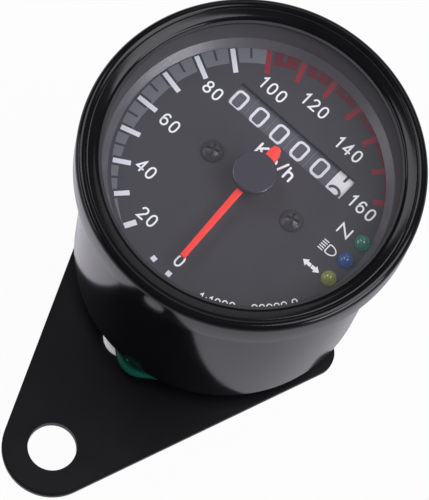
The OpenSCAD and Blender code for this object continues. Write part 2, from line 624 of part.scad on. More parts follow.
bezel_ring();
lens();
lens_gasket();
spacer_ring();
dial_plate();
dial_screws();
can();
pointer();
pointer_cap();
pointer_spindle();
speed_cup();
hairspring();
drive_spindle();
drive_magnet();
movement_base();
movement_bridge();
cable_nipple();
odometer_cheeks();
odometer_shaft();
drum_1();
drum_2();
drum_3();
drum_4();
drum_5();
drum_tenths();
carry_pinions();
carry_plates();
lamp_green();
lamp_blue();
lamp_yellow();
lamp_carrier();
bracket_plate();
stud_bolts();
rubber_buffers();
stud_washers();
stud_nuts();
can_boot();
plate_boot();
wire_white();
wire_green();
wire_blue();
wire_black();
harness_lead();
harness_coil();
harness_tie();
harness_plug();
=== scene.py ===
import bmesh
import bpy
import math
import mathutils
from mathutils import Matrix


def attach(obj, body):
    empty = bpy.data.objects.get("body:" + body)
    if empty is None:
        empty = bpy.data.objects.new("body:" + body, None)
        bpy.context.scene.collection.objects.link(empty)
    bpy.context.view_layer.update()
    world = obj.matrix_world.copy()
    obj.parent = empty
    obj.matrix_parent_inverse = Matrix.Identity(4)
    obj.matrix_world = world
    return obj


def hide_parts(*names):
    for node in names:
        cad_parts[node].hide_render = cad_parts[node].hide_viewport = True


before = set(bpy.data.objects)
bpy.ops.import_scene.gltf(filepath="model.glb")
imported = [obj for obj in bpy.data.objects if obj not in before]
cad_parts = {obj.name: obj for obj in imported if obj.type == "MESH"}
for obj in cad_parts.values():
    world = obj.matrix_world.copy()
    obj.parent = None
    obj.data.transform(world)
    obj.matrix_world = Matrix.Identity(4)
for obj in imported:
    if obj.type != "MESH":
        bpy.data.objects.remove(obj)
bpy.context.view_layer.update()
MM = 0.001
scene = bpy.context.scene
scene.view_settings.view_transform = "Standard"

# sizes repeated from the part's source, in millimetres: ARM is the height of the pointer's axis over the
# bolt hole, CX and CY the case's axis
ARM = 46.3
CX, CY = -1.6, 47.0
FLOOR_Z = -16.4
DIAL_TOP = 47.29
ODO_X, ODO_Y, ODO_Z, DRUM_PITCH = -0.7, 57.3, 38.99, 4.55
BEZEL_R, OPEN_R, BEZEL_TOP, SKIRT_Z, BEZEL_T = 30.0, 26.1, 55.49, 48.29, 0.9
CAN_TOP_R, CAN_FLOOR_R, CAN_Z, FLANGE_Z, CAN_T, FLANGE_R = 27.7, 27.1, 5.84, 49.24, 0.8, 28.9
NIPPLE_R, STUD_X, STUD_R = 6.0, 16.0, 2.5
DIAL_R, LINER_R, GASKET_Z, LENS_Z = 24.0, 26.7, 48.89, 52.99
BOOT_R, WIRE_R, SLEEVE_R = 4.2, 0.8, 1.9
WIRE_LOW, WIRE_HIGH = 2.95, 4.8

# camera, where the photograph was taken from
cam_data = bpy.data.cameras.new("camera")
cam_data.lens = 216
cam_data.sensor_width = 36
cam_data.clip_start = 0.01
cam_data.clip_end = 20
cam = bpy.data.objects.new("camera", cam_data)
scene.collection.objects.link(cam)
right = (0.741603, 0.661802, 0.10974)
up = (-0.655912, 0.681018, 0.325568)
back = (0.140726, -0.313422, 0.939129)
where = (0.074584, -0.126052, 0.524604)
cam.matrix_world = mathutils.Matrix([[right[i], up[i], back[i], where[i]] for i in range(3)]
                                    + [[0, 0, 0, 1]])
scene.camera = cam


# materials

def new_mat(name):
    m = bpy.data.materials.new(name)
    m.use_nodes = True
    nt = m.node_tree
    b = nt.nodes["Principled BSDF"]
    return m, nt, b


def coords(nt):
    return nt.nodes.new("ShaderNodeTexCoord").outputs["Object"]


def noise(nt, vec, scale, detail=4.0):
    n = nt.nodes.new("ShaderNodeTexNoise")
    n.inputs["Scale"].default_value = scale
    n.inputs["Detail"].default_value = detail
    n.inputs["Roughness"].default_value = 0.55
    nt.links.new(vec, n.inputs["Vector"])
    return n.outputs["Fac"]


def ramp(nt, fac, lo, hi):
    """Runs from lo to hi over the range that a noise mostly has."""
    r = nt.nodes.new("ShaderNodeValToRGB")
    for stop, at, color in zip(r.color_ramp.elements, (0.3, 0.7), (lo, hi)):
        stop.position, stop.color = at, color
    nt.links.new(fac, r.inputs["Fac"])
    return r.outputs["Color"]


def grey(v):
    return (v, v, v, 1)


def finish_mat(name, color, rough, spread=0.12, metallic=0.0, bump=0.0, bump_scale=900.0,
               rough_spread=0.06, coat=0.0, coat_rough=0.05, specular=0.5, emit=0.0, mottle=140.0):
    """Colour and roughness vary a little over the surface; a fine bump breaks the gloss."""
    m, nt, b = new_mat(name)
    vec = coords(nt)
    lo = tuple(max(0.0, c * (1 - spread)) for c in color) + (1,)
    hi = tuple(min(1.0, c * (1 + spread)) for c in color) + (1,)
    nt.links.new(ramp(nt, noise(nt, vec, mottle), lo, hi), b.inputs["Base Color"])
    nt.links.new(ramp(nt, noise(nt, vec, mottle * 1.7, 6), grey(max(0.0, rough - rough_spread)),
                      grey(min(1.0, rough + rough_spread))), b.inputs["Roughness"])
    b.inputs["Metallic"].default_value = metallic
    b.inputs["Specular IOR Level"].default_value = specular
    b.inputs["Coat Weight"].default_value = coat
    b.inputs["Coat Roughness"].default_value = coat_rough
    if emit:
        b.inputs["Emission Color"].default_value = tuple(color) + (1,)
        b.inputs["Emission Strength"].default_value = emit
    if bump:
        bn = nt.nodes.new("ShaderNodeBump")
        bn.inputs["Strength"].default_value = bump
        bn.inputs["Distance"].default_value = 0.0001
        nt.links.new(noise(nt, vec, bump_scale, 3), bn.inputs["Height"])
        nt.links.new(bn.outputs["Normal"], b.inputs["Normal"])
    return m


M = {}
M["bezel"] = finish_mat("bezel_enamel", (0.0045, 0.0045, 0.0052), 0.13, 0.2, specular=0.25, bump=0.02,
                        bump_scale=240, rough_spread=0.02)
M["can"] = finish_mat("can_enamel", (0.0045, 0.0045, 0.0055), 0.1, 0.2, specular=0.25, bump=0.03,
                      bump_scale=200, rough_spread=0.02)
M["plate"] = finish_mat("plate_enamel", (0.0026, 0.0024, 0.0038), 0.36, 0.08, specular=0.22,
                        bump=0.08, bump_scale=800, rough_spread=0.03, mottle=60)
M["gasket"] = finish_mat("gasket_rubber", (0.050, 0.050, 0.053), 0.55, 0.06, bump=0.1, bump_scale=1500,
                         specular=0.3)
M["spacer"] = finish_mat("spacer_plastic", (0.078, 0.077, 0.09), 0.37, 0.03, bump=0.06, bump_scale=1500,
                         specular=1.0, coat=1.0, coat_rough=0.35)
M["dial"] = finish_mat("dial_paint", (0.043, 0.0425, 0.048), 0.7, 0.03, bump=0.15, bump_scale=2600,
                       specular=0.25)
M["screw"] = finish_mat("screw_black", (0.035, 0.035, 0.037), 0.3, 0.25, bump=0.2, bump_scale=2000)
# the pointer's red has a faint painted glow (emit) on top of its lit colour
M["red"] = finish_mat("pointer_red", (0.93, 0.045, 0.03), 0.5, 0.02, bump=0.06, bump_scale=1800, emit=0.12,
                      specular=0.25)
M["cap"] = finish_mat("cap_plastic", (0.031, 0.030, 0.042), 0.5, 0.03, bump=0.1, bump_scale=2400,
                      specular=0.3)
M["cap_edge"] = finish_mat("cap_edge", (0.031, 0.030, 0.042), 0.2, 0.03, bump=0.05, specular=0.6)
M["steel"] = finish_mat("steel_bright", (0.6, 0.6, 0.62), 0.26, 0.1, metallic=1, bump=0.15, bump_scale=1200)
M["zinc"] = finish_mat("zinc_plated", (0.66, 0.67, 0.66), 0.3, 0.1, metallic=1, bump=0.15, bump_scale=900)
M["alu"] = finish_mat("cup_aluminium", (0.8, 0.8, 0.82), 0.35, 0.06, metallic=1, bump=0.1)
M["magnet"] = finish_mat("magnet_sintered", (0.12, 0.12, 0.13), 0.45, 0.2, metallic=0.8, bump=0.3)
M["cast"] = finish_mat("cast_zinc", (0.5, 0.51, 0.53), 0.45, 0.12, metallic=1, bump=0.4)
M["brass"] = finish_mat("brass_plain", (0.62, 0.47, 0.2), 0.32, 0.1, metallic=1, bump=0.15)
M["drum"] = finish_mat("drum_black", (0.09, 0.091, 0.107), 0.4, 0.04, bump=0.06, bump_scale=1600)
M["drum_white"] = finish_mat("drum_white", (0.92, 0.92, 0.94), 0.4, 0.03, bump=0.06, bump_scale=1600)
M["nylon"] = finish_mat("nylon_natural", (0.72, 0.7, 0.62), 0.45, 0.06, bump=0.1)
M["rubber"] = finish_mat("rubber_black", (0.02, 0.02, 0.021), 0.62, 0.2, bump=0.4, bump_scale=1300)
M["sleeve"] = finish_mat("sleeve_pvc", (0.014, 0.014, 0.015), 0.4, 0.25, bump=0.25, bump_scale=500)
M["tie"] = finish_mat("tie_nylon", (0.02, 0.02, 0.021), 0.4, 0.2, bump=0.15)
# the white wire has a painted glow that brightens it where it lies in shade
M["w_white"] = finish_mat("wire_white", (0.9, 0.9, 0.93), 0.4, 0.05, bump=0.1, emit=0.2)
M["w_green"] = finish_mat("wire_green", (0.001, 0.078, 0.05), 0.4, 0.1, bump=0.1, specular=0.25)
M["w_blue"] = finish_mat("wire_blue", (0.01, 0.03, 0.25), 0.4, 0.1, bump=0.1)
M["w_black"] = finish_mat("wire_black", (0.015, 0.015, 0.016), 0.4, 0.2, bump=0.1)
# the white print has a faint painted glow (emit) that lifts it above what the lamps give
M["ink"] = finish_mat("print_white", (0.86, 0.87, 0.9), 0.55, 0.02, bump=0.05, emit=0.14, specular=0.2)
M["tick"] = finish_mat("print_tick", (0.81, 0.83, 0.9), 0.55, 0.03, bump=0.05, specular=0.2)
M["band"] = finish_mat("print_band", (0.165, 0.168, 0.19), 0.6, 0.04, bump=0.05, specular=0.2)
M["outline"] = finish_mat("print_outline", (0.036, 0.036, 0.044), 0.6, 0.04, bump=0.05, specular=0.2)
M["tick_red"] = finish_mat("print_red", (0.28, 0.009, 0.022), 0.55, 0.04, bump=0.05, specular=0.2)
M["band_red"] = finish_mat("print_dark_red", (0.118, 0.002, 0.014), 0.6, 0.06, bump=0.05, specular=0.2)
M["drum_ink"] = finish_mat("drum_print", (0.86, 0.86, 0.92), 0.5, 0.02, bump=0.05, specular=0.2)
# lighter grey for the drums' rims: a painted highlight on their edges
M["drum_edge_painted_highlight"] = finish_mat("drum_edge_painted_highlight", (0.15, 0.15, 0.17), 0.4, 0.04, bump=0.06, bump_scale=1600)
M["drum_dark_ink"] = finish_mat("drum_dark_print", (0.085, 0.085, 0.09), 0.5, 0.05, bump=0.05, specular=0.2)


def lamp_mat(name, color, glow):
    m = finish_mat(name, color, 0.12, 0.1, coat=0.3, emit=glow, bump=0.05)
    b = m.node_tree.nodes["Principled BSDF"]
    b.inputs["Transmission Weight"].default_value = 0.25
    b.inputs["IOR"].default_value = 1.5
    return m


M["lamp_green"] = lamp_mat("lamp_green", (0.016, 0.20, 0.118), 0.12)
M["lamp_blue"] = lamp_mat("lamp_blue", (0.024, 0.085, 0.28), 0.12)
M["lamp_yellow"] = lamp_mat("lamp_yellow", (0.235, 0.26, 0.055), 0.12)
# the glass is a faint grey veil: its grey base colour at low alpha is a painted reflection laid over
# everything behind it
glass, nt, b = new_mat("lens_glass")
b.inputs["Base Color"].default_value = (0.33, 0.33, 0.36, 1)
nt.links.new(ramp(nt, noise(nt, coords(nt), 40.0), grey(0.02), grey(0.045)), b.inputs["Roughness"])
b.inputs["Alpha"].default_value = 0.05
M["glass"] = glass


def paint(node, key):
    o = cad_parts[node]
    if not o.material_slots:
        o.data.materials.append(M[key])
    for s in o.material_slots:
        s.material = M[key]


for node, key in {
        "lens": "glass",
        "dial_plate": "dial", "dial_screws": "screw", "pointer_spindle": "steel", "speed_cup": "alu",
        "hairspring": "brass", "drive_spindle": "steel", "drive_magnet": "magnet", "movement_base": "cast",
        "movement_bridge": "brass", "odometer_cheeks": "brass", "odometer_shaft": "steel",
        "drum_1": "drum", "drum_2": "drum", "drum_3": "drum", "drum_4": "drum", "drum_5": "drum",
        "drum_tenths": "drum_white", "carry_pinions": "nylon", "carry_plates": "steel",
        "lamp_green": "lamp_green", "lamp_blue": "lamp_blue", "lamp_yellow": "lamp_yellow",
        "lamp_carrier": "nylon", "bracket_plate": "plate", "stud_bolts": "zinc",
        "rubber_buffers": "rubber", "stud_washers": "zinc", "stud_nuts": "zinc", "can_boot": "rubber",
        "plate_boot": "rubber", "harness_tie": "tie", "harness_plug": "nylon"}.items():
    paint(node, key)


# mesh helpers

def mesh_piece(name, verts, faces, mat, body, smooth=False):
    """A piece from points in millimetres, riding on a body."""
    me = bpy.data.meshes.new(name)
    me.from_pydata([tuple(c * MM for c in v) for v in verts], [], faces)
    me.validate()
    me.update()
    o = bpy.data.objects.new(name, me)
    scene.collection.objects.link(o)
    me.materials.append(M[mat])
    for p in me.polygons:
        p.use_smooth = smooth
    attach(o, body)
    return o


def spline(p, n):
    """The same line through the points as the part's source draws."""
    out = []
    m = len(p)
    for i in range(m - 1):
        a, b, c, d = p[max(i - 1, 0)], p[i], p[i + 1], p[min(i + 2, m - 1)]
        for k in range(n + (1 if i == m - 2 else 0)):
            t = k / n
            out.append([0.5 * (2 * b[j] + (c[j] - a[j]) * t
                               + (2 * a[j] - 5 * b[j] + 4 * c[j] - d[j]) * t * t
                               + (3 * b[j] - a[j] - 3 * c[j] + d[j]) * t ** 3) for j in range(3)])
    return out


def wall(n, sides):
    """Faces between two rings of points, the first from number n and the second right after it."""
    return [(n + k, n + (k + 1) % sides, n + sides + (k + 1) % sides, n + sides + k) for k in range(sides)]


def tube(name, path, r, mat, first, last, sides=16):
    """Round cord along a path; first and last are its directions at the two ends."""
    V = mathutils.Vector
    p = [V(q) for q in path]
    m = len(p)
    u = None
    verts, faces = [], []
    for i in range(m):
        h = (p[min(i + 1, m - 1)] - p[max(i - 1, 0)]).normalized()
        if i == 0:
            h = V(first).normalized()
        if i == m - 1:
            h = V(last).normalized()
        if u is None:
            u = V((0, 0, 1)) if abs(h.z) < 0.9 else V((0, 1, 0))
        u = (u - h * u.dot(h)).normalized()
        w = h.cross(u)
        for k in range(sides):
            a = 2 * math.pi * k / sides
            verts.append(p[i] + u * (r * math.cos(a)) + w * (r * math.sin(a)))
    for i in range(m - 1):
        faces += wall(i * sides, sides)
    faces.append(tuple(range(sides))[::-1])
    faces.append(tuple((m - 1) * sides + k for k in range(sides)))
    return mesh_piece(name, verts, faces, mat, "gauge", smooth=True)


# cords first, on the routes of the part's source; the white and the green wire run about a millimetre
# nearer to the case, so that no more of them shows than in the photograph

def entry(c, a):
    """A wire's entry into a boot at angle a: on the boot's wall, then a little out."""
    ca, sa = math.cos(math.radians(a)), math.sin(math.radians(a))
    return [[c[0] + r * ca - CX, c[1] + r * sa - CY] for r in (BOOT_R, BOOT_R + 1.7)]


CAN_BOOT = (CX + 12, CY - 15)
PLATE_BOOT = (-8.5, ARM - 10.9)


def lamp_wire(name, a, mid, b, z, mat):
    """A wire at height z from the case's boot, at angle a, to the plate's boot, at angle b; mid holds the
    points between, from the case's axis."""
    pts = [[CX + x, CY + y, z] for x, y in entry(CAN_BOOT, a) + mid + entry(PLATE_BOOT, b)[::-1]]
    o = tube(name + "_lead", spline(pts, 8), WIRE_R, mat,
             (math.cos(math.radians(a)), math.sin(math.radians(a)), 0),
             (-math.cos(math.radians(b)), -math.sin(math.radians(b)), 0))
    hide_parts(name)


lamp_wire("wire_white", 240, [[5.5, -22.9], [1.2, -24.8], [-2.5, -26.1], [-4.9, -25.2], [-6.7, -22.2],
                              [-8.6, -19.8]], 250, WIRE_LOW, "w_white")
lamp_wire("wire_green", 262, [[9.2, -22.9], [6.2, -25.2], [2.8, -27.4], [-0.5, -26.7], [-3.8, -23.4],
                              [-5.9, -20.2]], 272, WIRE_HIGH, "w_green")
lamp_wire("wire_blue", 180, [[2.2, -14.7]], 335, WIRE_HIGH, "w_blue")
lamp_wire("wire_black", 180, [[2.2, -14.7]], 335, WIRE_LOW, "w_black")

# the sleeve's coil: its middle, its first and last angle, its first radius and its growth in a turn
SLEEVE_Z = -16 + SLEEVE_R
COIL = (-2.8, ARM + 4.7)
A0, A1, R0, STEP = 279.3, 955.0, 16.6, 4.3


def on_coil(a):
    r = R0 + STEP * (a - A0) / 360
    return [COIL[0] + r * math.cos(math.radians(a)), COIL[1] + r * math.sin(math.radians(a)), SLEEVE_Z]


lead_way = [[-8.5, 35.4, -1.8], [-8.5, 35.4, -3.7], [-8.5, 35.4, -5.6], [-8.2, 35.3, -7.8],
            [-7.4, 35.1, -9.9], [-6.1, 34.7, -11.6], [-4.3, 34.5, -13], [-2.3, 34.4, -13.8], on_coil(A0)]
tail_way = [[-13.5, 28.4, SLEEVE_Z], [-10.6, 26.4, SLEEVE_Z], [-8.4, 24.9, SLEEVE_Z],
            [-6.5, 23.8, SLEEVE_Z], [-4.7, 23.4, SLEEVE_Z], [-2.8, 23.4, SLEEVE_Z], [-0.9, 23.4, SLEEVE_Z]]
coil_way = [on_coil(A0 + (A1 - A0) * i / 96) for i in range(97)]
way = spline(lead_way, 4)[:-1] + coil_way + tail_way
cord = tube("harness_sleeve", way, SLEEVE_R, "sleeve", (0, 0, -1), (1, 0, 0))
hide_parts("harness_lead", "harness_coil")
cord_length = sum(math.dist(way[i], way[i + 1]) for i in range(len(way) - 1)) * MM
tuple(c * MM for c in way[0])
[tuple(c * MM for c in q) for q in way]


# threads on the neck and the studs: a helical groove in a turned piece

def threaded(x, y, profile, r_major, depth, pitch, z0, z1, sides=64):
    """profile is a list of (z, r) from the bottom up; between z0 and z1 the radius carries the thread."""
    verts, faces = [], []
    rings = []
    for (za, ra), (zb, rb) in zip(profile[:-1], profile[1:]):
        steps = 1
        if za >= z0 - 1e-6 and zb <= z1 + 1e-6:
            steps = max(1, int((zb - za) / (pitch / 8)))
        for k in range(steps):
            rings.append((za + (zb - za) * k / steps, ra + (rb - ra) * k / steps))
    rings.append(profile[-1])
    for z, r in rings:
        for k in range(sides):
            a = 2 * math.pi * k / sides
            rr = r
            if z0 < z < z1 and abs(r - r_major) < 1e-6:
                f = (z / pitch - k / sides) % 1.0
                fade = min(1.0, (z - z0) / pitch, (z1 - z) / pitch)
                rr = r - depth * fade * (1 - abs(2 * f - 1))
            verts.append((x + rr * math.cos(a), y + rr * math.sin(a), z))
    for i in range(len(rings) - 1):
        faces += wall(i * sides, sides)
    return verts, faces


def zinc_piece(name, parts, replaced):
    """One piece of plated steel from several sets of points and faces."""
    verts, faces = [], []
    for v, f in parts:
        n = len(verts)
        verts += v
        faces += [tuple(i + n for i in q) for q in f]
    o = mesh_piece(name, verts, faces, "zinc", "gauge", smooth=True)
    o.data.set_sharp_from_angle(angle=math.radians(40))
    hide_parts(replaced)


nipple = [(-8.8, 3.1), (-16, 3.1), (-16, NIPPLE_R - 0.6), (-15.4, NIPPLE_R), (-2.2, NIPPLE_R),
          (-2.2, NIPPLE_R - 0.6), (-1.2, NIPPLE_R - 0.6), (-1.2, NIPPLE_R), (10.0, NIPPLE_R),
          (10.0, 7.8), (12.0, 7.8), (12.0, 1.55), (-8.8, 1.55), (-8.8, 3.1)]
zinc_piece("nipple_thread", [threaded(0, ARM, nipple, NIPPLE_R, 0.5, 1.0, -15.4, -2.2)], "cable_nipple")
stud = [(-6.5, 0.01), (-6.5, STUD_R - 0.4), (-6.1, STUD_R), (6.4, STUD_R), (11.34, STUD_R), (11.34, 0.01)]
zinc_piece("stud_threads", [threaded(side * STUD_X, ARM, stud, STUD_R, 0.3, 0.8, -6.1, 6.4, sides=40)
                            for side in (-1, 1)], "stud_bolts")


# turned pieces: enamel and rubber show every facet, so they are turned finely, on the solids' sections
FACETS, HOLE_FACETS = 288, 48


def bend(cr, cz, r, a0, a1, n):
    """Points on an arc of a section, (radius, height) about its centre."""
    return [(cr + r * math.cos(math.radians(a0 + (a1 - a0) * i / n)),
             cz + r * math.sin(math.radians(a0 + (a1 - a0) * i / n))) for i in range(n + 1)]


def circle(bm, x, y, r, z, sides):
    return [bm.verts.new(((x + r * math.cos(2 * math.pi * k / sides)) * MM,
                          (y + r * math.sin(2 * math.pi * k / sides)) * MM, z * MM)) for k in range(sides)]


def join_rings(bm, a, b):
    for k in range(len(a)):
        j = (k + 1) % len(a)
        bm.faces.new((a[k], a[j], b[j], b[k]))


def revolve(bm, section, axis):
    rings = [circle(bm, axis[0], axis[1], r, z, FACETS) for r, z in section]
    for a, b in zip(rings[:-1], rings[1:]):
        join_rings(bm, a, b)
    return rings


def finish_turned(bm, name, mat, node, body="gauge"):
    """A smooth piece from a bmesh; node is the solid that it stands for, if any."""
    bmesh.ops.recalc_face_normals(bm, faces=bm.faces)
    me = bpy.data.meshes.new(name)
    bm.to_mesh(me)
    bm.free()
    me.materials.append(M[mat])
    for q in me.polygons:
        q.use_smooth = True
    me.set_sharp_from_angle(angle=math.radians(32))
    o = bpy.data.objects.new(name, me)
    scene.collection.objects.link(o)
    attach(o, body)
    if node:
        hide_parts(node)


def turned(name, section, mat, node=None, axis=(CX, CY), body="gauge"):
    """Closed section turned about an upright axis."""
    bm = bmesh.new()
    revolve(bm, section + section[:1], axis)
    bmesh.ops.remove_doubles(bm, verts=bm.verts, dist=1e-7)
    finish_turned(bm, name, mat, node, body)


# the bezel's skirt, bead, groove and sloping face, from its top T and its radius B
T, B = BEZEL_TOP, BEZEL_R
BEAD_R, EDGE_R = 1.1, 0.35
turned("bezel_turned", [(CAN_TOP_R + 0.3, SKIRT_Z)] + bend(B - EDGE_R, SKIRT_Z + EDGE_R, EDGE_R, -90, 0, 6)
       + bend(B - BEAD_R, T - BEAD_R, BEAD_R, 0, 122, 20)
       + [(B - 1.75, T - 0.26), (B - 1.85, T - 0.285), (B - 1.95, T - 0.26), (B - 2.05, T - 0.22)]
       + [(B - 2.4, T - 0.29), (B - 2.8, T - 0.37), (B - 3.1, T - 0.45), (B - 3.35, T - 0.54),
          (B - 3.6, T - 0.66), (B - 3.78, T - 0.8), (B - 3.88, T - 0.95), (OPEN_R, T - BEAD_R),
          (B - BEZEL_T, T - BEAD_R), (B - BEZEL_T, SKIRT_Z + BEZEL_T),
          (CAN_TOP_R + 0.3, SKIRT_Z + BEZEL_T)],
       "bezel", "bezel_ring")
turned("spacer_turned", [(DIAL_R, DIAL_TOP), (LINER_R, DIAL_TOP), (LINER_R, GASKET_Z),
                         (DIAL_R + 1.2, GASKET_Z), (DIAL_R, DIAL_TOP + 0.15)],
       "spacer", "spacer_ring")
turned("gasket_turned", [(DIAL_R + 1.25, GASKET_Z), (LINER_R, GASKET_Z), (LINER_R, FLANGE_Z + CAN_T),
                         (28.85, FLANGE_Z + CAN_T), (28.85, LENS_Z), (OPEN_R - 0.1, LENS_Z)],
       "gasket", "lens_gasket")

# thin seal that shows on the glass inside the bezel's edge
turned("glass_seal", [(OPEN_R, T - BEAD_R), (OPEN_R, T - 0.93), (OPEN_R - 0.25, T - 0.9),
                      (OPEN_R - 0.48, T - 0.96), (OPEN_R - 0.55, T - BEAD_R)], "rubber")

# hub cap with a round edge; its section starts a hair off the axis, so that no faces fold there
HUB = (-0.54, 46.76)
CAP_TOP, CAP_EDGE_R, NEAR_AXIS = 52.49, 0.22, 0.0005
NEEDLE_TOP, NEEDLE_T, TAIL_T = 50.89, 0.7, 1.5
turned("hub_cap", [(NEAR_AXIS, NEEDLE_TOP), (3.72, NEEDLE_TOP), (3.78, CAP_TOP - 0.35),
                   (3.6, CAP_TOP - 0.02), (3.58, CAP_TOP), (NEAR_AXIS, CAP_TOP)],
       "cap", "pointer_cap", HUB, "pointer_set")
turned("hub_cap_edge", [(3.7, CAP_TOP - 0.4)]
       + bend(3.84 - CAP_EDGE_R, CAP_TOP - 0.23, CAP_EDGE_R, 0, 90, 8)
       + [(3.5, CAP_TOP - 0.01), (3.5, CAP_TOP - 0.2)], "cap_edge", None, HUB, "pointer_set")


# needle: it leans a little off 12 o'clock, as photographed

def needle_x(y):
    return -0.63 - 0.055 * (y - ARM)


# its blade, with a shallow ridge: stations along it with their half width
verts, faces = [], []
for y, half in ((27.5, 0.5), (34.0, 0.54), (41.0, 0.58), (48.0, 0.62)):
    x = needle_x(y)
    verts += [(x - half, y, NEEDLE_TOP - NEEDLE_T), (x - half, y, NEEDLE_TOP - 0.05),
              (x + 0.4 * half, y, NEEDLE_TOP), (x + half, y, NEEDLE_TOP - 0.3),
              (x + half, y, NEEDLE_TOP - NEEDLE_T)]
for i in range(3):
    faces += wall(5 * i, 5)
faces += [(4, 3, 2, 1, 0), (15, 16, 17, 18, 19)]

# its tail, folded down on its right side beyond FOLD_X: points (y, x) round it
FOLD_X, FOLD_SLOPE = 0.3, 0.6
n = len(verts)
tail = [(47.0, -0.7), (52.3, -0.74), (53.3, -0.47), (53.6, FOLD_X), (53.5, 0.85), (52.6, 1.3),
        (47.0, 1.2), (47.0, FOLD_X)]
for low, slope in ((TAIL_T, 0.0), (0.0, FOLD_SLOPE)):
    verts += [(needle_x(y) + x, y, NEEDLE_TOP - low - slope * max(0.0, x - FOLD_X)) for y, x in tail]
faces += [q[::-1] for q in wall(n, 8)]
faces += [tuple(n + k for k in range(8)), tuple(n + k for k in (15, 11, 10, 9, 8)),
          tuple(n + k for k in (15, 14, 13, 12, 11))]

# its hub under the cap
n = len(verts)
HUB_R, HUB_FACETS = 2.75, 48
for z in (NEEDLE_TOP - TAIL_T, NEEDLE_TOP - 0.01):
    verts += [(HUB[0] + HUB_R * math.cos(2 * math.pi * k / HUB_FACETS),
               HUB[1] + HUB_R * math.sin(2 * math.pi * k / HUB_FACETS), z) for k in range(HUB_FACETS)]
faces += wall(n, HUB_FACETS)
faces += [tuple(n + HUB_FACETS - 1 - k for k in range(HUB_FACETS)),
          tuple(n + HUB_FACETS + k for k in range(HUB_FACETS))]
needle = mesh_piece("needle", verts, faces, "red", "pointer_set")
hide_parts("pointer")

# the can, with a round lower edge of radius CAN_EDGE_R and the holes in its floor
bm = bmesh.new()
CAN_EDGE_R = 1.6
edge_mid = (CAN_FLOOR_R - CAN_EDGE_R, CAN_Z + CAN_EDGE_R)
rings = revolve(bm, bend(*edge_mid, CAN_EDGE_R, -90, 0, 12)
                + [(CAN_TOP_R, FLANGE_Z), (FLANGE_R, FLANGE_Z), (FLANGE_R, FLANGE_Z + CAN_T),
                   (CAN_TOP_R - CAN_T, FLANGE_Z + CAN_T)]
                + bend(*edge_mid, CAN_EDGE_R - CAN_T, 0, -90, 8), (CX, CY))
holes = [(0, ARM, NIPPLE_R + 0.3), (STUD_X, ARM, STUD_R + 0.3), (-STUD_X, ARM, STUD_R + 0.3),
         (*CAN_BOOT, 2.65)]
floors = [[rings[0]], [rings[-1]]]
for x, y, r in holes:
    pair = [circle(bm, x, y, r, z, HOLE_FACETS) for z in (CAN_Z, CAN_Z + CAN_T)]
    floors[0].append(pair[0])
    floors[1].append(pair[1])
    join_rings(bm, *pair)
for loops in floors:
    edges = []
    for ring in loops:
        for k in range(len(ring)):
            ends = (ring[k], ring[(k + 1) % len(ring)])
            edges.append(bm.edges.get(ends) or bm.edges.new(ends))
    bmesh.ops.triangle_fill(bm, use_beauty=True, edges=edges)
finish_turned(bm, "can_turned", "can", "can")


# lettering: every figure is a width, then lines and arcs in a box 1 high

def arc(cx, cy, rx, ry, a0, a1, n=None):
    n = n or max(3, int(abs(a1 - a0) / 10))
    return [(cx + rx * math.cos(math.radians(a0 + (a1 - a0) * i / n)),
             cy + ry * math.sin(math.radians(a0 + (a1 - a0) * i / n))) for i in range(n + 1)]


